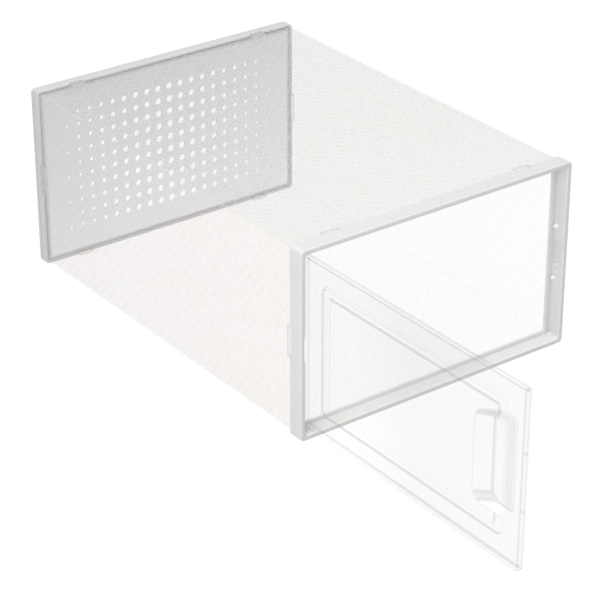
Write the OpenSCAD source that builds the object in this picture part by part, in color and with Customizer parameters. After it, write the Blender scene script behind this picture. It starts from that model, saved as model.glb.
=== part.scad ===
// Clear stackable flip-door shoe box: two white mouldings, four clear sheets, one swinging door.
// Frame: origin in the middle of the front ring's underside, X to the right, Y to the back, Z up.
// The door is drawn at rest, open at 90 degrees on the left post.

/* [Box] */
// Overall width across the rings
box_width = 230; // [150:1:400]
// Overall depth, front ring face to rear cover face
box_depth = 330; // [200:1:500]
// Overall height of the rings
box_height = 140; // [90:1:250]
// Outer corner radius of both rings
corner_r = 3.2; // [2.4:0.1:10]
// Distance from the front face to the origin
front_face_y = 7; // [0:0.5:20]

/* [Front ring] */
// Depth of the front ring
front_depth = 12.2; // [12:0.1:25]
// Wall thickness of the rim round the door
rim_wall = 3.9; // [3.4:0.1:8]
// Depth of the door recess, front face to stop ledge
recess_depth = 10.6; // [8:0.1:10.8]
// Width of the stop ledge on the two posts
ledge_side = 4.1; // [2:0.1:8]
// Height of the stop ledge on the top and bottom bars
ledge_bar = 3.1; // [1:0.1:6]
// Chamfer on the outer front edge
outer_chamfer = 1.2; // [0.4:0.1:3]
// Chamfer on the inner front edge
inner_chamfer = 1.6; // [0.4:0.1:3]
// Radius of the door opening's corners
opening_r = 2; // [1:0.1:4]
// Radius of the ledge's corners
ledge_r = 1.2; // [0.5:0.1:3]
// Depth of the pocket in the inner face of each post
post_pocket = 1.3; // [0.5:0.1:2]
// Lowest height of those pockets
post_pocket_z0 = 59; // [56:0.5:65]
// Highest height of those pockets
post_pocket_z1 = 78; // [70:0.5:82]

/* [Rear cover] */
// Depth of the rear cover
rear_depth = 9; // [6:0.5:25]
// Rim thickness behind the vented plate
rear_rim = 5; // [3:0.1:8]
// Thickness of the vented plate
plate_t = 1.6; // [1:0.1:4]
// Diameter of the vent holes in the middle columns
vent_d = 5.4; // [3:0.1:8]
// Diameter of the vent holes in the end columns
vent_d_end = 2.4; // [1.5:0.1:5]
// Vent spacing from side to side
vent_pitch_x = 10.1; // [6:0.1:20]
// Vent spacing up the plate
vent_pitch_z = 10.3; // [6:0.1:20]
// Vent columns
vent_cols = 19; // [3:1:25]
// Vent rows
vent_rows = 10; // [3:1:15]

/* [Clear sheets] */
// Sheet thickness
sheet_t = 1.0; // [0.5:0.1:2]
// How far the sheets sit inside the rings' outer faces
sheet_inset = 2.2; // [1.6:0.1:2.6]
// How far each sheet reaches into a ring
sheet_grip = 1.5; // [1.4:0.1:1.5]
// Thickness of the rings' outer wall beside the sheets
groove_wall = 1.2; // [0.8:0.1:1.6]
// Width of the two catches on the top and bottom sheets
catch_width = 12; // [6:0.5:30]
// Distance of those catches from the centre line
catch_offset = 81; // [40:1:100]
// Width of the single catch on each side sheet
side_catch_width = 22; // [10:0.5:40]
// Height of a catch above the sheet
catch_height = 2; // [0.5:0.1:2]

/* [Door] */
// Gap between the door and the rim, all round
door_gap = 3.4; // [2:0.1:5]
// Door thickness over its rim
door_t = 5; // [3:0.1:8]
// Door sheet thickness
door_sheet = 1.5; // [0.8:0.1:3]
// Length from the hinge axis to the free edge
door_reach = 212.5; // [150:0.5:300]
// Hinge pin radius
pin_r = 1.5; // [1:0.05:2.2]
// Hinge socket radius
socket_r = 1.55; // [1.05:0.05:2.4]
// Bead ring width
bead_w = 8; // [4:0.5:14]
// Bead ring height above the door sheet's inner side
bead_h = 1; // [0.3:0.1:2]
// Bead ring distance from the hinge axis
bead_u0 = 18.6; // [10:0.1:40]
// Bead ring far edge from the hinge axis
bead_u1 = 196.4; // [120:0.1:260]
// Bead ring lowest height
bead_z0 = 23; // [12:0.5:50]
// Bead ring highest height
bead_z1 = 119; // [80:0.5:180]

/* [Finger pocket] */
// Pocket mouth, near edge from the hinge axis
mouth_u0 = 169; // [120:0.5:200]
// Pocket mouth, far edge from the hinge axis
mouth_u1 = 196; // [150:0.5:230]
// Pocket mouth lowest height
mouth_z0 = 38.5; // [20:0.5:60]
// Pocket mouth highest height
mouth_z1 = 101.5; // [70:0.5:120]
// Pocket depth from the door's outer face
pocket_depth = 8.8; // [4:0.1:12]
// How far the sloped side runs in over the pocket's depth
pocket_slope = 9.7; // [2:0.1:12]
// Pocket wall thickness
pocket_wall = 1.4; // [0.8:0.1:2.5]

/* [Detents] */
// Height of the lower detent
detent_low = 49.2; // [20:0.1:54]
// Height of the upper detent
detent_high = 89.3; // [86:0.1:120]
// Detent bump radius
detent_r = 1.5; // [0.8:0.1:3]
// How far each door bump stands out
door_bump = 1.1; // [0.4:0.1:1.4]
// How far each post nub stands out
post_nub = 2.4; // [0.5:0.1:2.6]

/* [Hidden] */
$fa = 4;
$fs = 0.4;
eps = 0.01;
half_w = box_width / 2;
half_h = box_height / 2;
front_y = -front_face_y;
front_back_y = front_y + front_depth;
rear_y = front_y + box_depth;
rear_front_y = rear_y - rear_depth;
ledge_y = front_y + recess_depth;
ledge_t = front_depth - recess_depth;
open_w = box_width - 2 * rim_wall;
open_h = box_height - 2 * rim_wall;
ledge_open_w = open_w - 2 * ledge_side;
ledge_open_h = open_h - 2 * ledge_bar;
groove_slack = 0.1;
gap_depth = 0.8;
vent_fall = 1.5;
groove_depth = sheet_grip + 0.15;
tube_w = box_width - 2 * sheet_inset;
tube_h = box_height - 2 * sheet_inset;
sheet_y0 = front_back_y - sheet_grip;
sheet_y1 = rear_front_y + sheet_grip;
notch_depth = 1.4;
notch_slack = 0.2;
catch_run = 2.4;
catch_flat = 3.8;
side_z = 70;
door_half_t = door_t / 2;
stop_clearance = 0.05;
axis_x = -half_w + rim_wall + door_gap + door_half_t;
axis_y = ledge_y - stop_clearance - door_half_t;
door_z0 = rim_wall + door_gap;
door_z1 = box_height - rim_wall - door_gap;
door_h = door_z1 - door_z0;
boss_r = 3;
boss_gap = 0.15;
pin_tip = 1.6;
socket_end = 1.3;
bead_r = 5;
mouth_r = 8;
ring_white = [0.93, 0.93, 0.92];
sheet_clear = [0.86, 0.88, 0.88, 0.45];
door_clear = [0.88, 0.90, 0.91, 0.5];

// Rounded rectangle prism standing on z = 0, centred on the z axis.
module rounded_block(w, h, r, t) {
  for (x = [-1, 1])
    for (y = [-1, 1])
      translate([x * (w / 2 - r), y * (h / 2 - r), 0])
        cylinder(r = r, h = t);
  translate([-w / 2 + r, -h / 2, 0])
    cube([w - 2 * r, h, t]);
  translate([-w / 2, -h / 2 + r, 0])
    cube([w, h - 2 * r, t]);
}

// Frustum from a rounded rectangle (w, h, r) at z = 0 to one smaller by c all round at z = c.
module bevel_block(w, h, r, c) {
  for (x = [-1, 1])
    for (y = [-1, 1])
      translate([x * (w / 2 - r), y * (h / 2 - r), 0])
        cylinder(r1 = r, r2 = r - c, h = c);
  translate([w / 2 - r, 0, 0])
    rotate([90, 0, -90])
      linear_extrude(height = w - 2 * r)
        polygon([[-h / 2, 0], [h / 2, 0], [h / 2 - c, c], [-h / 2 + c, c]]);
  translate([0, h / 2 - r, 0])
    rotate([90, 0, 0])
      linear_extrude(height = h - 2 * r)
        polygon([[-w / 2, 0], [w / 2, 0], [w / 2 - c, c], [-w / 2 + c, c]]);
}

// Groove that takes the ends of the four sheets, opening at z = 0. Its mouth is wider.
module sheet_groove() {
  difference() {
    union() {
      translate([-tube_w / 2 - groove_slack, -tube_h / 2 - groove_slack, -1])
        cube([tube_w + 2 * groove_slack, tube_h + 2 * groove_slack, groove_depth + 1]);
      translate([-half_w + groove_wall, -half_h + groove_wall, -1])
        cube([box_width - 2 * groove_wall, box_height - 2 * groove_wall, gap_depth + 1]);
    }
    translate([-tube_w / 2 + sheet_t + groove_slack, -tube_h / 2 + sheet_t + groove_slack, -2])
      cube([tube_w - 2 * (sheet_t + groove_slack), tube_h - 2 * (sheet_t + groove_slack), groove_depth + 4]);
  }
}

// Notches in a ring's panel-side edge that take the sheets' catches, opening at z = 0.
module catch_notches() {
  for (x = [-1, 1])
    for (y = [-1, 1])
      translate([x * catch_offset - catch_width / 2 - notch_slack, y > 0 ? tube_h / 2 : -half_h - 1, -1])
        cube([catch_width + 2 * notch_slack, sheet_inset + 1, notch_depth + 1]);
  for (x = [-1, 1])
    translate([x > 0 ? tube_w / 2 : -half_w - 1, -side_catch_width / 2 - notch_slack, -1])
      cube([sheet_inset + 1, side_catch_width + 2 * notch_slack, notch_depth + 1]);
}

// One catch: a low ramp on a sheet. Drawn on z = 0, its flat end at y = 0, running to +y.
module catch_ramp(w) {
  translate([-w / 2, 0, 0])
    rotate([90, 0, 90])
      linear_extrude(height = w)
        polygon([[0, -0.2], [0, catch_height], [catch_flat, catch_height], [catch_flat + catch_run, 0.1],
                 [catch_flat + catch_run, -0.2]]);
}

// Catches for one edge pair of a sheet whose outer side is +z and whose length runs along y.
module catch_set(offsets, w) {
  for (x = offsets) {
    translate([x, front_back_y - notch_depth + 0.1, 0])
      catch_ramp(w);
    translate([x, rear_front_y + notch_depth - 0.1, 0])
      mirror([0, 1, 0])
        catch_ramp(w);
  }
}

// Opening shape shared by the door recess: rim opening with its chamfered mouth.
module recess_cut() {
  translate([0, 0, ledge_t])
    rounded_block(open_w, open_h, opening_r, front_depth);
  translate([0, 0, front_depth + eps])
    mirror([0, 0, 1])
      bevel_block(open_w + 2 * inner_chamfer, open_h + 2 * inner_chamfer, opening_r + inner_chamfer,
                  inner_chamfer);
}

// Shallow pocket in the inner face of a post.
module post_cut(side) {
  x_face = side > 0 ? open_w / 2 - 1 : -open_w / 2 - post_pocket;
  translate([x_face, front_y - 1, post_pocket_z0])
    cube([post_pocket + 1, recess_depth + 1, post_pocket_z1 - post_pocket_z0]);
}

// Tapered nub on the right post that faces the door's bump.
module post_detent(z) {
  translate([open_w / 2 + 0.4, axis_y, z])
    rotate([0, -90, 0])
      cylinder(r1 = detent_r + 0.4, r2 = detent_r - 0.5, h = post_nub + 0.4);
}

module front_frame() {
  color(ring_white)
    difference() {
      union() {
        difference() {
          translate([0, front_back_y, half_h])
            rotate([90, 0, 0])
              difference() {
                union() {
                  rounded_block(box_width, box_height, corner_r, front_depth - outer_chamfer);
                  translate([0, 0, front_depth - outer_chamfer])
                    bevel_block(box_width, box_height, corner_r, outer_chamfer);
                }
                translate([0, 0, -1])
                  rounded_block(ledge_open_w, ledge_open_h, ledge_r, front_depth + 2);
                recess_cut();
                sheet_groove();
                catch_notches();
              }
          post_cut(1);
          post_cut(-1);
        }
        post_detent(detent_low);
        post_detent(detent_high);
        translate([axis_x, axis_y, rim_wall - 0.5])
          cylinder(r = boss_r, h = door_gap - boss_gap + 0.5);
        translate([axis_x, axis_y, box_height - door_z0 + boss_gap])
          cylinder(r = boss_r, h = door_gap - boss_gap + 0.5);
      }
      translate([axis_x, axis_y, socket_end])
        cylinder(r = socket_r, h = door_z0);
      translate([axis_x, axis_y, box_height - socket_end - door_z0])
        cylinder(r = socket_r, h = door_z0);
    }
}

// How far column i lies from the middle one: 0 in the middle, 1 at either end.
function vent_share(i) = abs(2 * i / (vent_cols - 1) - 1);

// The holes shrink towards both ends, where the last columns have a hole in every other row only.
module vent_holes() {
  for (i = [0:vent_cols - 1])
    for (j = [0:vent_rows - 1])
      if (vent_share(i) < 1 || j % 2 == 0)
        translate([(i - (vent_cols - 1) / 2) * vent_pitch_x, (j - (vent_rows - 1) / 2) * vent_pitch_z, -1])
          cylinder(d = vent_d - (vent_d - vent_d_end) * pow(vent_share(i), vent_fall), h = rear_depth);
}

module rear_cover() {
  color(ring_white)
    translate([0, rear_front_y, half_h])
      rotate([-90, 0, 0])
        difference() {
          union() {
            rounded_block(box_width, box_height, corner_r, rear_depth - outer_chamfer);
            translate([0, 0, rear_depth - outer_chamfer])
              bevel_block(box_width, box_height, corner_r, outer_chamfer);
          }
          translate([0, 0, plate_t])
            rounded_block(box_width - 2 * rear_rim, box_height - 2 * rear_rim, opening_r, rear_depth);
          sheet_groove();
          catch_notches();
          vent_holes();
        }
}

// Flat sheet lying on z = 0 with its outer side at z = sheet_t.
module flat_sheet(w) {
  translate([-w / 2, sheet_y0, 0])
    cube([w, sheet_y1 - sheet_y0, sheet_t]);
}

module broad_sheet() {
  flat_sheet(tube_w);
  translate([0, 0, sheet_t])
    catch_set([-catch_offset, catch_offset], catch_width);
}

module side_sheet() {
  flat_sheet(tube_h - 2 * sheet_t - 0.1);
  translate([0, 0, sheet_t])
    catch_set([0], side_catch_width);
}

module top_panel() {
  color(sheet_clear)
    translate([0, 0, box_height - sheet_inset - sheet_t])
      broad_sheet();
}

module bottom_panel() {
  color(sheet_clear)
    translate([0, 0, sheet_inset + sheet_t])
      rotate([0, 180, 0])
        broad_sheet();
}

module left_panel() {
  color(sheet_clear)
    translate([-tube_w / 2 + sheet_t, 0, side_z])
      rotate([0, -90, 0])
        side_sheet();
}

module right_panel() {
  color(sheet_clear)
    translate([tube_w / 2 - sheet_t, 0, side_z])
      rotate([0, 90, 0])
        side_sheet();
}

// Everything below is drawn shut, with the hinge axis on the z axis, +x along the door, +y inwards.
module door_tray() {
  translate([0, -door_half_t, door_z0])
    cube([door_reach, door_sheet, door_h]);
  translate([door_reach - door_sheet, -door_half_t, door_z0])
    cube([door_sheet, door_t, door_h]);
  translate([0, -door_half_t, door_z0])
    cube([door_reach, door_t, door_sheet]);
  translate([0, -door_half_t, door_z1 - door_sheet])
    cube([door_reach, door_t, door_sheet]);
  translate([0, 0, door_z0])
    cylinder(r = door_half_t, h = door_h);
}

module frame_prism(u0, u1, z0, z1, r, v0, v1) {
  translate([(u0 + u1) / 2, v1, (z0 + z1) / 2])
    rotate([90, 0, 0])
      rounded_block(u1 - u0, z1 - z0, r, v1 - v0);
}

module bead_ring() {
  difference() {
    frame_prism(bead_u0, bead_u1, bead_z0, bead_z1, bead_r,
                -door_half_t + door_sheet - 0.2, -door_half_t + door_sheet + bead_h);
    frame_prism(bead_u0 + bead_w, bead_u1 - bead_w, bead_z0 + bead_w, bead_z1 - bead_w, 2,
                -door_half_t, door_half_t);
  }
}

module bead_groove() {
  difference() {
    frame_prism(bead_u0 + 1, bead_u1 - 1, bead_z0 + 1, bead_z1 - 1, bead_r - 1,
                -door_half_t - 1, -door_half_t + bead_h - 0.2);
    frame_prism(bead_u0 + bead_w - 1, bead_u1 - bead_w + 1, bead_z0 + bead_w - 1, bead_z1 - bead_w + 1, 3,
                -door_half_t - 2, door_half_t);
  }
}

// Pocket body: sloped on the hinge side, square on the free side.
module pocket_solid(grow, lift) {
  v0 = -door_half_t - lift;
  v1 = -door_half_t + pocket_depth + grow;
  u0 = mouth_u0 - grow;
  u1 = mouth_u1 + grow;
  z0 = mouth_z0 - grow;
  z1 = mouth_z1 + grow;
  run = pocket_slope;
  translate([0, 0, z0])
    linear_extrude(height = z1 - z0)
      polygon([[u0 - lift * 0.2, v0], [u1, v0], [u1, v1], [u0 + run, v1]]);
}

module door_bump_at(z) {
  translate([door_reach + door_bump - detent_r, 0, z])
    sphere(r = detent_r);
}

module door_shut() {
  difference() {
    union() {
      difference() {
        door_tray();
        bead_groove();
      }
      bead_ring();
      pocket_solid(pocket_wall, 0);
      door_bump_at(detent_low);
      door_bump_at(detent_high);
      translate([0, 0, pin_tip])
        cylinder(r = pin_r, h = box_height - 2 * pin_tip);
    }
    pocket_solid(0, 1);
  }
}

module door() {
  color(door_clear)
    translate([axis_x, axis_y, 0])
      rotate([0, 0, -90])
        door_shut();
}

front_frame();
rear_cover();
top_panel();
bottom_panel();
left_panel();
right_panel();
door();
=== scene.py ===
# Clear stackable flip-door shoe box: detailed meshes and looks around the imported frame.
# Shapes are worked out in millimetres in the row frame (X right, Y back, Z up), then scaled to metres.
import math
import bmesh
import bpy
from mathutils import Matrix, Vector

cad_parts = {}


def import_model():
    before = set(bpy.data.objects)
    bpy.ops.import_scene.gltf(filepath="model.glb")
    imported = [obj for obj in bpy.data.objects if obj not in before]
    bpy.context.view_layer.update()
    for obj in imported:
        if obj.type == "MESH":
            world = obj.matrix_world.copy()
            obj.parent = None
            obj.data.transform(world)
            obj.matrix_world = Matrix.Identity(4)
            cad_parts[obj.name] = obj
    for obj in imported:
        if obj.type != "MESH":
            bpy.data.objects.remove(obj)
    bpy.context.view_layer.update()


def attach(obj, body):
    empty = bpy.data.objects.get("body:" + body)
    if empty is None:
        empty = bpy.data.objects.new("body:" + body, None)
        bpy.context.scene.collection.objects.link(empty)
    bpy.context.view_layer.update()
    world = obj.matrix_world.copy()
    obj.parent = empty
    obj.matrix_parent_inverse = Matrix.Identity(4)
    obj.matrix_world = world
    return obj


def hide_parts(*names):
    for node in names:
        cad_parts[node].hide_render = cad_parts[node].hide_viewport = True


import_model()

MM = 0.001
WIDTH, HEIGHT = 230.0, 140.0
MID_Z = HEIGHT / 2
FRONT_Y, RING_BACK_Y, LEDGE_Y = -7.0, 5.2, 3.6
COVER_Y0, COVER_Y1, PLATE_Y1 = 314.0, 323.0, 315.6
OUTER_R, OPENING_R, LEDGE_R = 3.2, 2.0, 1.2
RIM = 3.9
COVER_RIM = 5.0
LEDGE_X, LEDGE_Z = 8.0, 7.0
CHANNEL_WIDTH, CHANNEL_DEPTH = 0.5, 0.2
SHEET_T = 1.0
INSET = 2.2
TUBE_X, TUBE_Z = WIDTH / 2 - INSET, MID_Z - INSET
SHEET_Y0, SHEET_Y1 = 3.7, 315.5
GROOVE_DEPTH = 1.65
GROOVE_IN, GROOVE_MID, GROOVE_OUT = INSET + SHEET_T + 0.1, INSET - 0.1, 1.2
REBATE_DEPTH = 0.8
GROOVE_R = OUTER_R - GROOVE_OUT
CATCH_X, CATCH_HALF, SIDE_CATCH_HALF = 81.0, 6.0, 11.0
NOTCH_DEPTH = 1.4
DETENT_Z = (49.2, 89.3)
AXIS_X, AXIS_Y = -105.2, 1.05
DOOR_Z0, DOOR_Z1 = 7.3, 132.7
DOOR_REACH = 212.5
DOOR_HALF = 2.5
DOOR_SKIN = 1.5
POST_X = WIDTH / 2 - RIM
POST_POCKET_Z0, POST_POCKET_Z1 = 59.0, 78.0
POST_POCKET_DEPTH, LEFT_POCKET_DEPTH = 2.0, 1.3
BOSS_R, SOCKET_R, PIN_R = 3.0, 1.55, 1.5
SOCKET_END, PIN_END = 1.3, 1.6
PIN_GAP = 0.02
BEAD_REACH0, BEAD_REACH1, BEAD_Z0, BEAD_Z1, BEAD_R = 18.6, 196.4, 23.0, 119.0, 5.0
BUMP_R, BUMP_PROUD = 1.5, 1.1
CORNER_SEGMENTS = 10
SHARP_ANGLE = math.radians(38)


# ---------------------------------------------------------------- mesh helpers
def rounded_quad(x0, x1, z0, z1, radii, seg=CORNER_SEGMENTS):
    """Points round a rectangle with one radius per corner: +x+z, -x+z, -x-z, +x-z."""
    corners = ((x1, z1, 0, -1, -1), (x0, z1, 90, 1, -1), (x0, z0, 180, 1, 1), (x1, z0, 270, -1, 1))
    points = []
    for (cx, cz, start, sx, sz), r in zip(corners, radii):
        for k in range(seg + 1):
            a = math.radians(start + 90 * k / seg)
            points.append((cx + sx * r + r * math.cos(a), cz + sz * r + r * math.sin(a)))
    return points


def loft(bm, loops, closed=False, cap_first=False, cap_last=False):
    """Quads between loops of equal length; returns the vertex loops."""
    rings = [[bm.verts.new(p) for p in loop] for loop in loops]
    pairs = list(zip(rings, rings[1:]))
    if closed:
        pairs.append((rings[-1], rings[0]))
    for a, b in pairs:
        n = len(a)
        for k in range(n):
            bm.faces.new((a[k], a[(k + 1) % n], b[(k + 1) % n], b[k]))
    if cap_first:
        bm.faces.new(rings[0])
    if cap_last:
        bm.faces.new(rings[-1])
    return rings


def fillet_profile(points, closed=True, seg=4):
    """Rounds the corners of a polyline. Each point is (values..., fillet); the fillet is a length in mm."""
    result = []
    count = len(points)
    for i, point in enumerate(points):
        p, f = Vector(point[:-1]), point[-1]
        if f <= 0 or (not closed and i in (0, count - 1)):
            result.append(p)
            continue
        a = Vector(points[i - 1][:-1]) - p
        b = Vector(points[(i + 1) % count][:-1]) - p
        # the first three values are lengths; the fillet is measured in them
        a = a * (f / Vector(a[:3]).length)
        b = b * (f / Vector(b[:3]).length)
        for k in range(seg + 1):
            t = math.radians(90 * k / seg)
            result.append(p + (1 - math.sin(t)) * a + (1 - math.cos(t)) * b)
    return result


def ring_loops(profile):
    """Profile values are (inset x, inset z, y, corner radius)."""
    loops = []
    for ix, iz, y, r in profile:
        flat = rounded_quad(-WIDTH / 2 + ix, WIDTH / 2 - ix, -MID_Z + iz, MID_Z - iz, [r] * 4)
        loops.append([(x, y, z + MID_Z) for x, z in flat])
    return loops


def rounded_box(bm, lo, hi, r, seg=3):
    """A box with every edge rounded."""
    made = bmesh.ops.create_cube(bm, size=1.0)["verts"]
    for v in made:
        v.co = Vector([lo[i] if v.co[i] < 0 else hi[i] for i in range(3)])
    if r > 0:
        edges = list({e for v in made for e in v.link_edges})
        bmesh.ops.bevel(bm, geom=edges, offset=r, offset_type="OFFSET", segments=seg,
                        profile=0.5, affect="EDGES")


def turned(bm, profile, centre, axis="Z", seg=32):
    """A solid of revolution about X or Z. Profile is (radius, height); both its ends lie on the axis."""
    rings = []
    for radius, height in profile[1:-1]:
        ring = []
        for k in range(seg):
            a = 2 * math.pi * k / seg
            c, s = radius * math.cos(a), radius * math.sin(a)
            offset = {"X": (height, c, s), "Z": (c, s, height)}[axis]
            ring.append(bm.verts.new(Vector(centre) + Vector(offset)))
        rings.append(ring)
    for a, b in zip(rings, rings[1:]):
        for k in range(seg):
            bm.faces.new((a[k], a[(k + 1) % seg], b[(k + 1) % seg], b[k]))
    for ring, (radius, height) in ((rings[0], profile[0]), (rings[-1], profile[-1])):
        offset = {"X": (height, 0, 0), "Z": (0, 0, height)}[axis]
        tip = bm.verts.new(Vector(centre) + Vector(offset))
        for k in range(seg):
            bm.faces.new((ring[k], ring[(k + 1) % seg], tip))


def pin_profile(radius, z0, z1, edge):
    """A cylinder's outline with rounded ends."""
    low = [(radius - edge + edge * math.sin(math.radians(a)), z0 + edge - edge * math.cos(math.radians(a)))
           for a in (0, 30, 60, 90)]
    high = [(radius - edge + edge * math.cos(math.radians(a)), z1 - edge + edge * math.sin(math.radians(a)))
            for a in (0, 30, 60, 90)]
    return [(0, z0)] + low + high + [(0, z1)]


def to_object(name, bm):
    bmesh.ops.recalc_face_normals(bm, faces=bm.faces)
    mesh = bpy.data.meshes.new(name)
    bm.to_mesh(mesh)
    bm.free()
    made = bpy.data.objects.new(name, mesh)
    bpy.context.scene.collection.objects.link(made)
    return made


def built(name, build):
    """One object from a function that fills a bmesh."""
    bm = bmesh.new()
    build(bm)
    return to_object(name, bm)


def combine(target, operation, tool):
    """Applies one exact boolean to target and removes the tool."""
    step = target.modifiers.new("step", "BOOLEAN")
    step.operation, step.object, step.solver = operation, tool, "EXACT"
    bpy.context.view_layer.update()
    graph = bpy.context.evaluated_depsgraph_get()
    mesh = bpy.data.meshes.new_from_object(target.evaluated_get(graph))
    target.modifiers.clear()
    target.data = mesh
    bpy.data.objects.remove(tool)


def finish_piece(piece, body, node, materials, weld=0.004):
    """Cleans, scales to metres, shades, and puts the piece on its CAD body."""
    bm = bmesh.new()
    bm.from_mesh(piece.data)
    bmesh.ops.remove_doubles(bm, verts=bm.verts, dist=weld)
    bmesh.ops.dissolve_degenerate(bm, dist=weld / 2, edges=bm.edges)
    bmesh.ops.recalc_face_normals(bm, faces=bm.faces)
    bmesh.ops.scale(bm, vec=(MM, MM, MM), verts=bm.verts)
    bm.to_mesh(piece.data)
    bm.free()
    mesh = piece.data
    mesh.name = piece.name
    mesh.materials.clear()
    for material in materials:
        mesh.materials.append(material)
    mesh.polygons.foreach_set("use_smooth", [True] * len(mesh.polygons))
    mesh.set_sharp_from_angle(angle=SHARP_ANGLE)
    weighted = piece.modifiers.new("even_normals", "WEIGHTED_NORMAL")
    weighted.keep_sharp = True
    weighted.weight = 90
    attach(piece, body)
    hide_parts(node)
    return piece


# ---------------------------------------------------------------- materials
class Tree:
    """Short calls for building a node material."""

    def __init__(self, name):
        self.material = bpy.data.materials.new(name)
        self.material.use_nodes = True
        self.nodes = self.material.node_tree.nodes
        self.links = self.material.node_tree.links
        self.nodes.clear()
        output = self.nodes.new("ShaderNodeOutputMaterial")
        self.shader = self.nodes.new("ShaderNodeBsdfPrincipled")
        self.links.new(self.shader.outputs[0], output.inputs[0])
        self.place = self.nodes.new("ShaderNodeTexCoord").outputs["Object"]

    def put(self, socket, value):
        if isinstance(value, bpy.types.NodeSocket):
            self.links.new(value, socket)
        elif value is not None:
            socket.default_value = value

    def math(self, operation, a, b=None):
        node = self.nodes.new("ShaderNodeMath")
        node.operation = operation
        for socket, value in zip(node.inputs, (a, b)):
            self.put(socket, value)
        return node.outputs[0]

    def noise(self, scale, detail=2.0, rough=0.5, distort=0.0):
        node = self.nodes.new("ShaderNodeTexNoise")
        self.put(node.inputs["Vector"], self.place)
        node.inputs["Scale"].default_value = scale
        node.inputs["Detail"].default_value = detail
        node.inputs["Roughness"].default_value = rough
        node.inputs["Distortion"].default_value = distort
        return node.outputs[0]

    def span(self, value, a, b, lo, hi, smooth=False):
        """value from a..b to lo..hi, clamped."""
        node = self.nodes.new("ShaderNodeMapRange")
        node.interpolation_type = "SMOOTHSTEP" if smooth else "LINEAR"
        for key, v in (("Value", value), ("From Min", a), ("From Max", b), ("To Min", lo), ("To Max", hi)):
            self.put(node.inputs[key], v)
        return node.outputs[0]

    def blend(self, factor, a, b):
        node = self.nodes.new("ShaderNodeMix")
        node.data_type = "RGBA"
        self.put(node.inputs["Factor"], factor)
        for key, v in (("A", a), ("B", b)):
            socket = [s for s in node.inputs if s.name == key and s.type == "RGBA"][0]
            self.put(socket, v if isinstance(v, bpy.types.NodeSocket) else (*v, 1.0))
        return [s for s in node.outputs if s.type == "RGBA"][0]

    def facing(self, blend):
        """0 seen square on, rising to 1 at a grazing angle."""
        node = self.nodes.new("ShaderNodeLayerWeight")
        node.inputs["Blend"].default_value = blend
        return node.outputs["Facing"]

    def axes(self):
        node = self.nodes.new("ShaderNodeSeparateXYZ")
        self.links.new(self.place, node.inputs[0])
        return node.outputs

    def bump(self, height, strength, distance, normal=None):
        node = self.nodes.new("ShaderNodeBump")
        node.inputs["Strength"].default_value = strength
        node.inputs["Distance"].default_value = distance
        self.put(node.inputs["Height"], height)
        self.put(node.inputs["Normal"], normal)
        return node.outputs[0]

    def set(self, **values):
        for key, value in values.items():
            self.put(self.shader.inputs[key.replace("_", " ")], value)
        return self.material


def moulding_grain(t):
    """Satin polypropylene: a fine moulded grain and slow flow marks, as tone, gloss and normal."""
    flow = t.noise(14.0, 3.0, 0.55, distort=0.6)
    cloud = t.noise(55.0, 2.0)
    grain = t.noise(2600.0, 2.0)
    tone = t.math("ADD", t.math("MULTIPLY", flow, 0.65), t.math("MULTIPLY", cloud, 0.35))
    gloss = t.math("ADD", t.span(cloud, 0.3, 0.7, 0.30, 0.40), t.math("MULTIPLY", grain, 0.08))
    normal = t.bump(flow, 0.12, 0.0006, t.bump(grain, 0.10, 0.00008))
    return t.span(tone, 0.3, 0.7, 0.0, 1.0), gloss, normal


def moulded_white(name, dull, bright):
    t = Tree(name)
    tone, gloss, normal = moulding_grain(t)
    return t.set(Base_Color=t.blend(tone, dull, bright), Roughness=gloss, Normal=normal, IOR=1.49)


def rear_white_lit_and_shaded():
    """The rear cover: a cool white plate, lighter towards its lower right (painted light and shade), and a
    greyer neutral rim (painted shade) with painted light on its top face and in the sheets' slot.
    """
    t = Tree("moulded_rear_white_lit_and_shaded")
    x, y, z = t.axes()
    tone, gloss, normal = moulding_grain(t)
    # painted light and shade: the plate is darker towards its upper left and lighter towards its lower right
    across = t.span(x, -0.105, 0.105, 0.0, 0.38)
    down = t.span(z, 0.132, 0.008, 0.0, 0.62)
    plate = t.blend(t.math("ADD", across, down), (0.650, 0.680, 0.708), (0.895, 0.912, 0.935))
    plate = t.blend(t.math("MULTIPLY", tone, 0.15), plate, (0.78, 0.80, 0.82))
    # painted shade: the rim is a greyer copy of the cover's white
    rim = t.blend(tone, (0.575, 0.577, 0.578), (0.605, 0.606, 0.606))
    # painted light: the rim's top face is lighter
    painted_top_light = t.span(z, (HEIGHT - 1.0) * MM, (HEIGHT - 0.4) * MM, 0.0, 1.0)
    rim = t.blend(painted_top_light, rim, (0.685, 0.687, 0.687))
    edge_x = t.math("SUBTRACT", t.math("ABSOLUTE", x), (WIDTH / 2 - COVER_RIM) * MM)
    height = t.math("ABSOLUTE", t.math("SUBTRACT", z, MID_Z * MM))
    edge_z = t.math("SUBTRACT", height, (MID_Z - COVER_RIM) * MM)
    edge = t.math("MAXIMUM", edge_x, edge_z)
    outside = t.span(edge, -0.0004, 0.0004, 0.0, 1.0)
    # painted light: the sheets' slot in the rim is a lighter, bluer grey than the rim
    slot_middle = (COVER_RIM - (GROOVE_IN + GROOVE_OUT) / 2) * MM
    painted_slot_light = t.span(t.math("ABSOLUTE", t.math("SUBTRACT", edge, slot_middle)), 0.00105, 0.0013, 1.0, 0.0)
    painted_slot_light = t.math("MULTIPLY", painted_slot_light, t.span(y, (COVER_Y1 - 6) * MM, (COVER_Y1 - 5) * MM, 1.0, 0.0))
    rim = t.blend(painted_slot_light, rim, (0.68, 0.70, 0.75))
    return t.set(Base_Color=t.blend(outside, plate, rim), Roughness=gloss, Normal=normal, IOR=1.49)


LATTICE_PITCH = 0.0067
LINE_HALF = 0.0004


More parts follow.
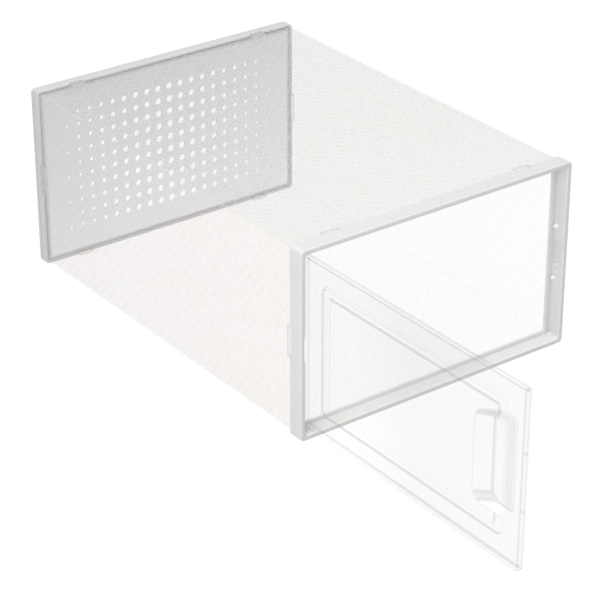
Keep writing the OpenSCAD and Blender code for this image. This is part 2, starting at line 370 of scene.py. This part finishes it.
def lattice(t):
    """Embossed diamonds: two sets of raised lines at 45 degrees, the same rule for all four sheets."""
    x, y, z = t.axes()
    across = t.math("ADD", x, z)
    near = []
    for operation in ("ADD", "SUBTRACT"):
        slant = t.math("MULTIPLY", t.math(operation, y, across), math.sqrt(0.5))
        near.append(t.math("PINGPONG", slant, LATTICE_PITCH / 2))
    distance = t.math("MINIMUM", *near)
    line = t.span(distance, LINE_HALF * 0.4, LINE_HALF * 1.6, 1.0, 0.0, smooth=True)
    facet = t.span(distance, 0.0, LATTICE_PITCH * 0.4, 0.0, 1.0)
    return line, facet


def creases(t):
    """1 on the whitened fold lines along the tube's four long edges, 0 elsewhere."""
    x, y, z = t.axes()
    off_x = t.math("ABSOLUTE", t.math("SUBTRACT", t.math("ABSOLUTE", x), (TUBE_X - 0.35) * MM))
    height = t.math("ABSOLUTE", t.math("SUBTRACT", z, MID_Z * MM))
    off_z = t.math("ABSOLUTE", t.math("SUBTRACT", height, (TUBE_Z - 0.35) * MM))
    return t.span(t.math("MAXIMUM", off_x, off_z), 0.0003, 0.0007, 1.0, 0.0, smooth=True)


def clear_sheet(name, tint, tint_far, haze, line_alpha, fold_alpha, mark=(0.79, 0.77, 0.75)):
    """Thin clear plastic with a slight haze; line_alpha is the strength of the embossed diamonds."""
    t = Tree(name)
    cloud = t.noise(9.0, 3.0, 0.6, distort=0.4)
    streak = t.noise(160.0, 2.0)
    alpha = t.math("MULTIPLY", t.span(cloud, 0.25, 0.75, 0.92, 1.08), haze)
    fold = creases(t)
    rim = t.math("POWER", t.facing(0.35), 4.0)
    alpha = t.math("ADD", alpha, t.math("MULTIPLY", fold, fold_alpha))
    alpha = t.math("ADD", alpha, t.math("MULTIPLY", rim, 0.12))
    white = fold
    normal = t.bump(streak, 0.04, 0.0001)
    if line_alpha > 0:
        line, facet = lattice(t)
        alpha = t.math("ADD", alpha, t.math("MULTIPLY", line, line_alpha))
        white = t.math("MAXIMUM", white, line)
        relief = t.math("SUBTRACT", line, t.math("MULTIPLY", facet, 0.4))
        normal = t.bump(relief, 0.06, 0.00006, normal)
    base = t.blend(cloud, tint, tint_far)
    colour = t.blend(white, base, mark)
    gloss = t.math("ADD", t.span(cloud, 0.3, 0.7, 0.10, 0.16), t.math("MULTIPLY", white, 0.15))
    return t.set(Base_Color=colour, Roughness=gloss, Normal=normal, IOR=1.49,
                 Alpha=t.math("MINIMUM", alpha, 0.95))


def catch_clear():
    """The sheets' moulded catches: thicker, so they look greyer, with darker edges."""
    t = Tree("sheet_catch")
    cloud = t.noise(220.0, 2.0)
    rim = t.math("POWER", t.facing(0.4), 2.0)
    alpha = t.math("ADD", t.span(cloud, 0.3, 0.7, 0.30, 0.38), t.math("MULTIPLY", rim, 0.3))
    colour = t.blend(rim, (0.66, 0.66, 0.66), (0.52, 0.52, 0.53))
    gloss = t.span(cloud, 0.3, 0.7, 0.12, 0.2)
    normal = t.bump(cloud, 0.05, 0.0002)
    return t.set(Base_Color=colour, Roughness=gloss, Normal=normal, IOR=1.49, Alpha=alpha)


HINGE_TINT = (0.56, 0.46, 0.40)
HINGE_NEAR, HINGE_FAR = 45, 115


def clear_door(name, low, high, rim_alpha, face_colour, rim_colour, clearest=1.0):
    """Rigid clear styrene; low and high bound its opacity seen square on.

    With clearest below 1 it is clearer and warmer beside its hinge than towards the grip."""
    t = Tree(name)
    cloud = t.noise(12.0, 2.0)
    ripple = t.noise(38.0, 1.0)
    rim = t.span(t.facing(0.5), 0.66, 0.98, 0.0, 1.0, smooth=True)
    alpha = t.span(cloud, 0.3, 0.7, low, high)
    if clearest < 1:
        y = t.axes()[1]
        by_hinge = t.span(y, (AXIS_Y - HINGE_FAR) * MM, (AXIS_Y - HINGE_NEAR) * MM, 0.0, 1.0, smooth=True)
        alpha = t.math("MULTIPLY", alpha, t.span(by_hinge, 0.0, 1.0, 1.0, clearest))
        face_colour = t.blend(by_hinge, face_colour, HINGE_TINT)
    alpha = t.math("ADD", alpha, t.math("MULTIPLY", rim, rim_alpha))
    colour = t.blend(rim, face_colour, rim_colour)
    gloss = t.span(cloud, 0.3, 0.7, 0.04, 0.08)
    normal = t.bump(ripple, 0.05, 0.0004)
    return t.set(Base_Color=colour, Roughness=gloss, Normal=normal, IOR=1.57, Alpha=alpha)


WHITE = moulded_white("moulded_white", (0.680, 0.684, 0.682), (0.722, 0.724, 0.720))
# painted shade: a darker copy of the white for the ring's front-facing lip
LIP_SHADED_WHITE = moulded_white("moulded_lip_painted_shade", (0.590, 0.593, 0.592), (0.625, 0.627, 0.625))
# painted highlight: a brighter copy of the white for the studs and the post pocket's floor
STUD_HIGHLIGHT_WHITE = moulded_white("moulded_stud_painted_highlight", (0.860, 0.862, 0.860), (0.890, 0.890, 0.888))
# painted shade: a darker copy of the white for the ring's outer left face
SIDE_SHADED_WHITE = moulded_white("moulded_side_painted_shade", (0.638, 0.642, 0.640), (0.678, 0.680, 0.676))
# painted light: a lighter copy of the white for the bottom bar's upward faces
SILL_LIT_WHITE = moulded_white("moulded_sill_painted_light", (0.800, 0.804, 0.800), (0.842, 0.844, 0.838))
REAR_WHITE_LIT_AND_SHADED = rear_white_lit_and_shaded()
WARM, WARM_FAR = (0.605, 0.565, 0.52), (0.625, 0.585, 0.54)
SIDE_WARM, SIDE_WARM_FAR = (0.74, 0.65, 0.59), (0.77, 0.67, 0.61)
COOL, COOL_FAR = (0.47, 0.47, 0.475), (0.50, 0.50, 0.505)
WARM_PLAIN = clear_sheet("sheet_warm", WARM, WARM_FAR, 0.15, 0.0, 0.10)
TOP_LATTICE = clear_sheet("sheet_warm_diamond", WARM, WARM_FAR, 0.17, 0.15, 0.20, (0.74, 0.712, 0.685))
SIDE_PLAIN = clear_sheet("sheet_side_warm", SIDE_WARM, SIDE_WARM_FAR, 0.12, 0.0, 0.08, (0.76, 0.68, 0.62))
LEFT_LATTICE = clear_sheet("sheet_side_diamond", SIDE_WARM, SIDE_WARM_FAR, 0.12, 0.04, 0.12,
                           (0.68, 0.62, 0.58))
COOL_PLAIN = clear_sheet("sheet_plain", COOL, COOL_FAR, 0.06, 0.0, 0.04, (0.58, 0.58, 0.58))
COOL_LATTICE = clear_sheet("sheet_plain_diamond", COOL, COOL_FAR, 0.06, 0.035, 0.04, (0.60, 0.60, 0.60))
CATCH = catch_clear()
DOOR_CLEAR = clear_door("door_clear", 0.094, 0.108, 0.35, (0.43, 0.43, 0.43), (0.35, 0.35, 0.36), 0.5)
DOOR_EDGE = clear_door("door_edge", 0.22, 0.25, 0.30, (0.36, 0.36, 0.37), (0.30, 0.30, 0.31))
# painted shade: downward-facing edges are more opaque than the others, so they read darker
DOOR_EDGE_SHADED_UNDER = clear_door("door_edge_painted_shade_under", 0.30, 0.34, 0.30, (0.36, 0.36, 0.37), (0.30, 0.30, 0.31))
DOOR_POCKET = clear_door("door_pocket", 0.008, 0.014, 0.05, (0.56, 0.51, 0.46), (0.50, 0.48, 0.46))
DOOR_PIN = clear_door("door_pin", 0.90, 0.93, 0.05, (0.66, 0.66, 0.66), (0.62, 0.62, 0.62))


# ---------------------------------------------------------------- front ring
def catch_notches(bm, edge, inward):
    """Windows in a ring's outer wall for the catches, from its sheet-side edge."""
    y0, y1 = sorted((edge - inward * 3, edge + inward * NOTCH_DEPTH))
    half = CATCH_HALF + 0.2
    for x in (-CATCH_X, CATCH_X):
        rounded_box(bm, (x - half, y0, HEIGHT - INSET), (x + half, y1, HEIGHT + 3), 0.3)
        rounded_box(bm, (x - half, y0, -3), (x + half, y1, INSET), 0.3)
    half = SIDE_CATCH_HALF + 0.2
    for side in (-1, 1):
        x0, x1 = sorted((side * TUBE_X, side * (WIDTH / 2 + 3)))
        rounded_box(bm, (x0, y0, MID_Z - half), (x1, y1, MID_Z + half), 0.3)


def front_ring():
    profile = fillet_profile([
        (0, 0, RING_BACK_Y, OUTER_R, 0.35),
        (0, 0, FRONT_Y, OUTER_R, 1.2),
        (RIM, RIM, FRONT_Y, OPENING_R, 1.4),
        (RIM, RIM, LEDGE_Y + CHANNEL_DEPTH, OPENING_R, 0),
        (RIM + CHANNEL_WIDTH, RIM + CHANNEL_WIDTH, LEDGE_Y + CHANNEL_DEPTH, LEDGE_R, 0),
        (RIM + CHANNEL_WIDTH, RIM + CHANNEL_WIDTH, LEDGE_Y, LEDGE_R, 0.2),
        (LEDGE_X, LEDGE_Z, LEDGE_Y, LEDGE_R, 0.4),
        (LEDGE_X, LEDGE_Z, RING_BACK_Y, LEDGE_R, 0.3),
        (GROOVE_IN, GROOVE_IN, RING_BACK_Y, 0.3, 0.15),
        (GROOVE_IN, GROOVE_IN, RING_BACK_Y - GROOVE_DEPTH, 0.3, 0),
        (GROOVE_MID, GROOVE_MID, RING_BACK_Y - GROOVE_DEPTH, 0.3, 0),
        (GROOVE_MID, GROOVE_MID, RING_BACK_Y - REBATE_DEPTH, 0.3, 0),
        (GROOVE_OUT, GROOVE_OUT, RING_BACK_Y - REBATE_DEPTH, GROOVE_R, 0.15),
        (GROOVE_OUT, GROOVE_OUT, RING_BACK_Y, GROOVE_R, 0.2),
    ])
    ring = built("front_ring", lambda bm: loft(bm, ring_loops(profile), closed=True))
    # a stud's outline: (radius, distance from the post), with a foot sunk in the post and a domed tip
    stud = [(0, 0.6), (1.9, 0.6), (1.9, 0.2), (1.5, -0.5), (1.4, -1.4), (1.15, -2.0), (0.65, -2.35),
            (0, -2.4)]

    def extras(bm):
        for z in DETENT_Z:
            turned(bm, stud, (POST_X, AXIS_Y, z), "X")
        for z0, z1 in ((RIM - 0.6, DOOR_Z0 - 0.15), (DOOR_Z1 + 0.15, HEIGHT - RIM + 0.6)):
            turned(bm, pin_profile(BOSS_R, z0, z1, 0.3), (AXIS_X, AXIS_Y, 0))

    def cuts(bm):
        catch_notches(bm, RING_BACK_Y, -1)
        rounded_box(bm, (POST_X - 2, FRONT_Y + 1.5, POST_POCKET_Z0),
                    (POST_X + POST_POCKET_DEPTH, LEDGE_Y - 0.6, POST_POCKET_Z1), 0.5)
        rounded_box(bm, (-POST_X - LEFT_POCKET_DEPTH, FRONT_Y - 3, POST_POCKET_Z0),
                    (-POST_X + 2, LEDGE_Y - 0.6, POST_POCKET_Z1), 0.7)
        for z0, z1 in ((SOCKET_END, 10), (HEIGHT - 10, HEIGHT - SOCKET_END)):
            turned(bm, pin_profile(SOCKET_R, z0, z1, 0.2), (AXIS_X, AXIS_Y, 0), seg=40)

    combine(ring, "UNION", built("extras", extras))
    combine(ring, "DIFFERENCE", built("cuts", cuts))
    piece = finish_piece(ring, "box", "front_frame",
                         [WHITE, SILL_LIT_WHITE, LIP_SHADED_WHITE, STUD_HIGHLIGHT_WHITE, SIDE_SHADED_WHITE])
    general, lit_sill, shaded_lip, bright, side = range(5)
    for face in piece.data.polygons:
        x, y, z = (value / MM for value in face.center)
        off_stud = min(math.hypot(y - AXIS_Y, z - detent) for detent in DETENT_Z)
        on_pocket_floor = (x > POST_X - 0.3 and abs(z - POST_POCKET_Z0) < 1.2 and y < LEDGE_Y
                           and face.normal.z > 0.3)
        if (POST_X - 3 < x < POST_X - 0.1 and off_stud < 2.0) or on_pocket_floor:
            # painted highlight: the studs and the pocket's floor take the brighter white
            look = bright
        elif face.normal.x < -0.75 and x < 1 - WIDTH / 2:
            # painted shade: the outer left face takes the darker white
            look = side
        elif face.normal.z > 0.6 and z < 8:
            # painted light: the bottom bar's upward faces take the lighter white
            look = lit_sill
        elif face.normal.y < -0.75 and y < FRONT_Y + 1:
            # painted shade: the front lip takes the darker white
            look = shaded_lip
        else:
            look = general
        face.material_index = look


# ---------------------------------------------------------------- rear cover
# holes shrink from VENT_R in the middle column to VENT_R_END in the outer ones, by the power VENT_FALL
VENT_R, VENT_R_END, VENT_EDGE, VENT_FALL = 2.7, 1.2, 0.3, 1.5
PITCH_X, PITCH_Z = 10.1, 10.3
COLS, ROWS = 19, 10
CELL_SIDE = 8
EDGE_STEPS = 3


def vent_cell(bm, corner, i, j):
    """One cell of the plate, front face to back face, with its hole if it has one."""
    cx = (i - (COLS - 1) / 2) * PITCH_X
    cz = (j - (ROWS - 1) / 2) * PITCH_Z
    share = abs(2 * i / (COLS - 1) - 1)
    frames = []
    for y in (COVER_Y0, PLATE_Y1):
        square = []
        for s in range(4):
            for k in range(CELL_SIDE):
                t = -1 + 2 * k / CELL_SIDE
                u, v = ((1, t), (-t, 1), (-1, -t), (t, -1))[s]
                square.append(corner(cx + u * PITCH_X / 2, cz + v * PITCH_Z / 2, y))
        frames.append(square)
    if share == 1 and j % 2:
        for square in frames:
            bm.faces.new(square)
        return
    hole = VENT_R - (VENT_R - VENT_R_END) * share ** VENT_FALL
    levels = []
    for k in range(EDGE_STEPS + 1):
        a = math.radians(90 * k / EDGE_STEPS)
        levels.append((hole + VENT_EDGE * (1 - math.sin(a)), COVER_Y0 + VENT_EDGE * (1 - math.cos(a))))
    levels += [(r, COVER_Y0 + PLATE_Y1 - y) for r, y in reversed(levels)]
    n = 4 * CELL_SIDE
    circles = []
    for r, y in levels:
        circle = []
        for k in range(n):
            a = math.radians(-45 + 360 * k / n)
            circle.append(bm.verts.new((cx + r * math.cos(a), y, cz + r * math.sin(a) + MID_Z)))
        circles.append(circle)
    loops = [frames[0]] + circles + [frames[1]]
    for a, b in zip(loops, loops[1:]):
        for k in range(n):
            bm.faces.new((a[k], a[(k + 1) % n], b[(k + 1) % n], b[k]))


def rear_cover():
    half_x, half_z = COLS * PITCH_X / 2, ROWS * PITCH_Z / 2
    join = COVER_RIM + 1.2
    step_y, step_in, step_half = 319.4, 0.35, 0.3
    profile = fillet_profile([
        (join, join, COVER_Y0, 1.0, 0),
        (GROOVE_IN, GROOVE_IN, COVER_Y0, 0.3, 0.2),
        (GROOVE_IN, GROOVE_IN, COVER_Y0 + GROOVE_DEPTH, 0.3, 0),
        (GROOVE_MID, GROOVE_MID, COVER_Y0 + GROOVE_DEPTH, 0.3, 0),
        (GROOVE_MID, GROOVE_MID, COVER_Y0 + REBATE_DEPTH, 0.3, 0),
        (GROOVE_OUT, GROOVE_OUT, COVER_Y0 + REBATE_DEPTH, GROOVE_R, 0.15),
        (GROOVE_OUT, GROOVE_OUT, COVER_Y0, GROOVE_R, 0.2),
        (0, 0, COVER_Y0, OUTER_R, 0.4),
        (0, 0, step_y - step_half, OUTER_R, 0.1),
        (step_in, step_in, step_y - step_half, OUTER_R - step_in, 0),
        (step_in, step_in, step_y + step_half, OUTER_R - step_in, 0),
        (0, 0, step_y + step_half, OUTER_R, 0.1),
        (0, 0, COVER_Y1, OUTER_R, 1.2),
        (COVER_RIM, COVER_RIM, COVER_Y1, OPENING_R, 0.8),
        (COVER_RIM, COVER_RIM, PLATE_Y1, OPENING_R, 0.5),
        (join, join, PLATE_Y1, 1.0, 0),
    ], closed=False)

    def build(bm):
        rings = loft(bm, ring_loops(profile))
        border = {}

        def corner(x, z, y):
            key = (round(x, 3), round(z, 3), y)
            if key not in border:
                border[key] = bm.verts.new((x, y, z + MID_Z))
            return border[key]

        for i in range(COLS):
            for j in range(ROWS):
                vent_cell(bm, corner, i, j)
        bm.edges.ensure_lookup_table()
        for y, ring in ((COVER_Y0, rings[0]), (PLATE_Y1, rings[-1])):
            members = set(ring)
            on_border = {v for (x, z, vy), v in border.items()
                         if vy == y and (abs(abs(x) - half_x) < 0.01 or abs(abs(z) - half_z) < 0.01)}
            edges = [e for e in bm.edges if e.is_boundary
                     and (set(e.verts) <= members or set(e.verts) <= on_border)]
            bmesh.ops.triangle_fill(bm, use_beauty=True, use_dissolve=False, edges=edges, normal=(0, 1, 0))

    cover = built("rear_panel", build)
    combine(cover, "DIFFERENCE", built("cuts", lambda bm: catch_notches(bm, COVER_Y0, 1)))
    finish_piece(cover, "box", "rear_cover", [REAR_WHITE_LIT_AND_SHADED])


# ---------------------------------------------------------------- clear sheets
def catch(bm, centre, half, along, toward):
    """A low ramp on the sheet's outer side: full height by the ring, down towards the tube's middle."""
    h, flat, run, sink = 2.0, 3.8, 2.4, 0.35
    line = [(0, -sink), (0, h - 0.3), (0.3, h), (flat, h), (flat + 0.6, h - 0.16), (flat + run, 0.05),
            (flat + run, -sink)]
    loops = []
    for x in (-half, half):
        loops.append([(centre + x, along + toward * u, v) for u, v in line])
    loft(bm, loops, cap_first=True, cap_last=True)


def sheet(name, node, half_width, offsets, half, spin, place, materials):
    """Drawn flat with its outer side at z = 0, then turned about y and moved into the tube.

    Materials are for the inner side and edges, the outer face, and the catches."""
    slab = built(name, lambda bm: rounded_box(bm, (-half_width, SHEET_Y0, -SHEET_T),
                                               (half_width, SHEET_Y1, 0), 0.22, 2))

    def catches(bm):
        for x in offsets:
            catch(bm, x, half, RING_BACK_Y - NOTCH_DEPTH + 0.1, 1)
            catch(bm, x, half, COVER_Y0 + NOTCH_DEPTH - 0.1, -1)

    combine(slab, "UNION", built("catches", catches))
    outer = Matrix.Rotation(math.radians(spin), 4, "Y")
    slab.data.transform(Matrix.Translation(place) @ outer)
    piece = finish_piece(slab, "box", node, materials)
    direction = (outer @ Vector((0, 0, 1))).normalized()
    level = direction.dot(Vector(place)) * MM
    plain, embossed, moulded = range(3)
    for face in piece.data.polygons:
        if face.center.dot(direction) > level + 0.04 * MM:
            face.material_index = moulded
        elif face.normal.dot(direction) > 0.9:
            face.material_index = embossed
        else:
            face.material_index = plain


# ---------------------------------------------------------------- door
def door():
    """Built shut: u along x from the hinge axis, v = y inwards from the door's middle, z up."""
    def loops_of(profile, u0, u1, z0, z1, radii):
        loops = []
        for inset, v, r in profile:
            flat = rounded_quad(u0 + inset, u1 - inset, z0 + inset, z1 - inset,
                                [max(0.3, q * r) for q in radii])
            loops.append([(u, v, z) for u, z in flat])
        return loops

    skin = -DOOR_HALF + DOOR_SKIN

    def tray(bm):
        outline = fillet_profile([
            (6.0, -DOOR_HALF, 0.5, 0),
            (0.0, -DOOR_HALF, 1.0, 0.7),
            (0.0, DOOR_HALF, 1.0, 0.45),
            (DOOR_SKIN, DOOR_HALF, 0.8, 0.45),
            (DOOR_SKIN, skin, 0.8, 0.6),
            (6.0, skin, 0.5, 0),
        ], closed=False)
        loft(bm, loops_of(outline, -0.5, DOOR_REACH, DOOR_Z0, DOOR_Z1, (2.2, 0.6, 0.6, 2.2)),
             cap_first=True, cap_last=True)

    def bead(bm):
        outline = fillet_profile([
            (0.0, skin - 0.35, 1.0, 0),
            (0.0, skin, 1.0, 0),
            (0.9, skin + 1.0, 0.9, 0.45),
            (7.1, skin + 1.0, 0.35, 0.45),
            (8.0, skin, 0.3, 0),
            (8.0, skin - 0.35, 0.3, 0),
        ])
        loft(bm, loops_of(outline, BEAD_REACH0, BEAD_REACH1, BEAD_Z0, BEAD_Z1, [BEAD_R] * 4), closed=True)

    def groove(bm):
        outline = fillet_profile([
            (1.0, -DOOR_HALF - 0.5, 0.9, 0),
            (1.0, -DOOR_HALF, 0.9, 0),
            (1.8, -DOOR_HALF + 0.8, 0.8, 0.35),
            (6.2, -DOOR_HALF + 0.8, 0.45, 0.35),
            (7.0, -DOOR_HALF, 0.4, 0),
            (7.0, -DOOR_HALF - 0.5, 0.4, 0),
        ])
        loft(bm, loops_of(outline, BEAD_REACH0, BEAD_REACH1, BEAD_Z0, BEAD_Z1, [BEAD_R] * 4), closed=True)

    def pocket(bm, wall, low, high, floor_fillet, flare=0.0):
        """The finger pocket's body, from v = low to v = high; the hinge side slopes in."""
        def footprint(v, shrink=0.0):
            share = (v + DOOR_HALF) / 8.8
            u0 = 169.0 - wall + 9.7 * share + shrink
            u1 = 196.0 + wall - 0.25 * share - shrink
            z0 = 38.5 - wall + 0.25 * share + shrink
            z1 = 101.5 + wall - 0.25 * share - shrink
            free = max(0.6, 1.2 + wall - shrink)
            hinge = max(1.0, 6.5 + wall - shrink)
            return [(u, v, z) for u, z in rounded_quad(u0, u1, z0, z1, (free, hinge, hinge, free))]
        loops = [footprint(low)]
        if flare > 0:
            loops += [footprint(-DOOR_HALF - 0.02, -flare), footprint(-DOOR_HALF + 0.12, -flare * 0.55),
                      footprint(-DOOR_HALF + 0.45, -flare * 0.15)]
            low = -DOOR_HALF + flare
        steps = 6
        for k in range(steps + 1):
            loops.append(footprint(low + (high - floor_fillet - low) * (k + 0.5) / (steps + 0.5)))
        for k in range(1, 5):
            a = math.radians(90 * k / 4)
            loops.append(footprint(high - floor_fillet * (1 - math.sin(a)), floor_fillet * (1 - math.cos(a))))
        loft(bm, loops, cap_first=True, cap_last=True)

    def barrel(bm):
        turned(bm, pin_profile(DOOR_HALF, DOOR_Z0, DOOR_Z1, 0.4), (0, 0, 0), seg=48)

    def pins(bm):
        """The gap keeps the pins' ends as faces, or the sockets show as dark holes through the barrel."""
        for z0, z1 in ((PIN_END, DOOR_Z0 - PIN_GAP), (DOOR_Z1 + PIN_GAP, HEIGHT - PIN_END)):
            turned(bm, pin_profile(PIN_R, z0, z1, 0.2), (0, 0, 0), seg=32)

    def bumps(bm):
        for z in DETENT_Z:
            made = bmesh.ops.create_uvsphere(bm, u_segments=24, v_segments=14, radius=BUMP_R)["verts"]
            bmesh.ops.translate(bm, verts=made, vec=(DOOR_REACH + BUMP_PROUD - BUMP_R, 0.0, z))

    leaf = built("flip_door", tray)
    combine(leaf, "UNION", built("barrel", barrel))
    combine(leaf, "UNION", built("pins", pins))
    combine(leaf, "UNION", built("bumps", bumps))
    combine(leaf, "UNION", built("bead", bead))
    combine(leaf, "DIFFERENCE", built("groove", groove))
    combine(leaf, "UNION", built("shell", lambda bm: pocket(bm, 1.4, -DOOR_HALF + 0.2, 7.7, 1.6)))
    combine(leaf, "DIFFERENCE", built("hollow", lambda bm: pocket(bm, 0.0, -DOOR_HALF - 1.0, 6.3, 1.0, 0.7)))
    turn = Matrix.Translation((AXIS_X, AXIS_Y, 0)) @ Matrix.Rotation(math.radians(-90), 4, "Z")
    leaf.data.transform(turn)
    piece = finish_piece(leaf, "door", "door",
                         [DOOR_CLEAR, DOOR_EDGE, DOOR_EDGE_SHADED_UNDER, DOOR_POCKET, DOOR_PIN])
    clear, edge, shaded_under_edge, pocket_wall, pin = range(5)
    for face in piece.data.polygons:
        across, along, rise = (abs(value) for value in face.normal)
        reach, height = AXIS_Y - face.center.y / MM, face.center.z / MM
        from_axis = math.hypot(face.center.x / MM - AXIS_X, reach)
        look = clear
        if from_axis < PIN_R + 0.1 and not DOOR_Z0 - 0.01 < height < DOOR_Z1 + 0.01:
            look = pin
        elif reach < DOOR_HALF + 0.3:
            look = clear
        elif 166 < reach < 199 and 36 < height < 104:
            # inside the finger pocket: its rounded edges, then its walls, but not its sloping hinge side
            hinge_slope = abs(along - 0.672) < 0.06 and rise < 0.06
            if 0.3 < across < 0.93 and not hinge_slope:
                look = edge
            elif rise > 0.5 or (reach > 190 and along > 0.9):
                look = pocket_wall
        elif max(across, along, rise) < math.cos(math.radians(9)):
            # painted shade: edges that face down take the more opaque, darker edge look
            look = shaded_under_edge if face.normal.z < -0.3 else edge
        face.material_index = look


front_ring()
rear_cover()
SIDE_HALF = TUBE_Z - SHEET_T - 0.05
sheet("sheet_top", "top_panel", TUBE_X, (-CATCH_X, CATCH_X), CATCH_HALF, 0, (0, 0, HEIGHT - INSET),
      [WARM_PLAIN, TOP_LATTICE, CATCH])
sheet("sheet_bottom", "bottom_panel", TUBE_X, (-CATCH_X, CATCH_X), CATCH_HALF, 180, (0, 0, INSET),
      [COOL_PLAIN, COOL_LATTICE, CATCH])
sheet("sheet_left", "left_panel", SIDE_HALF, (0,), SIDE_CATCH_HALF, -90, (-TUBE_X, 0, MID_Z),
      [SIDE_PLAIN, LEFT_LATTICE, CATCH])
sheet("sheet_right", "right_panel", SIDE_HALF, (0,), SIDE_CATCH_HALF, 90, (TUBE_X, 0, MID_Z),
      [COOL_PLAIN, COOL_LATTICE, CATCH])
door()


# ---------------------------------------------------------------- studio
def floor():
    bm = bmesh.new()
    bmesh.ops.create_grid(bm, x_segments=4, y_segments=4, size=6.0)
    ground = to_object("studio_floor", bm)
    t = Tree("studio_floor")
    speck = t.noise(3.0, 2.0)
    colour = t.blend(speck, (0.060, 0.060, 0.060), (0.065, 0.065, 0.065))
    t.shader.inputs["Emission Color"].default_value = (1, 1, 1, 1)
    path = t.nodes.new("ShaderNodeLightPath")
    t.put(t.shader.inputs["Emission Strength"], t.span(path.outputs["Is Camera Ray"], 0.0, 1.0, 0.76, 0.985))
    ground.data.materials.append(t.set(Base_Color=colour, Roughness=1.0, Specular_IOR_Level=0.0))


def area_light(name, place, target, size, power):
    data = bpy.data.lights.new(name, "AREA")
    data.shape, data.size, data.energy = "SQUARE", size, power
    lamp = bpy.data.objects.new(name, data)
    lamp.location = place
    lamp.rotation_euler = (Vector(target) - Vector(place)).to_track_quat("-Z", "Y").to_euler()
    bpy.context.scene.collection.objects.link(lamp)


def world(level):
    made = bpy.data.worlds.new("studio")
    bpy.context.scene.world = made
    made.use_nodes = True
    nodes, links = made.node_tree.nodes, made.node_tree.links
    nodes.clear()
    output = nodes.new("ShaderNodeOutputWorld")
    mix = nodes.new("ShaderNodeMixShader")
    path = nodes.new("ShaderNodeLightPath")
    soft, seen = nodes.new("ShaderNodeBackground"), nodes.new("ShaderNodeBackground")
    soft.inputs["Color"].default_value = (1, 1, 1, 1)
    soft.inputs["Strength"].default_value = level
    seen.inputs["Color"].default_value = (1, 1, 1, 1)
    seen.inputs["Strength"].default_value = 1.0
    links.new(path.outputs["Is Camera Ray"], mix.inputs[0])
    links.new(soft.outputs[0], mix.inputs[1])
    links.new(seen.outputs[0], mix.inputs[2])
    links.new(mix.outputs[0], output.inputs[0])


def camera():
    data = bpy.data.cameras.new("camera")
    data.sensor_width = 36.0
    data.lens = 139.56
    data.clip_end = 50.0
    eye = bpy.data.objects.new("camera", data)
    eye.location = (-0.8956, -1.0562, 0.7983)
    eye.rotation_euler = (math.radians(90 - 27.92), 0.0, math.radians(-36.647))
    bpy.context.scene.collection.objects.link(eye)
    bpy.context.scene.camera = eye


floor()
world(0.70)
area_light("overhead", (0.0, -0.25, 1.3), (0.0, 0.0, 0.1), 0.8, 6.2)
area_light("left_front", (-0.8, -0.45, 0.4), (0.0, 0.0, 0.07), 0.5, 3.2)
area_light("left_side", (-0.9, 0.0, 0.45), (0.0, 0.0, 0.07), 0.5, 0.3)
camera()
bpy.context.scene.view_settings.view_transform = "Standard"
bpy.context.scene.view_settings.look = "None"
# a ray through the door, its pocket and two sheets crosses more than eight clear surfaces
bpy.context.scene.cycles.transparent_max_bounces = 32
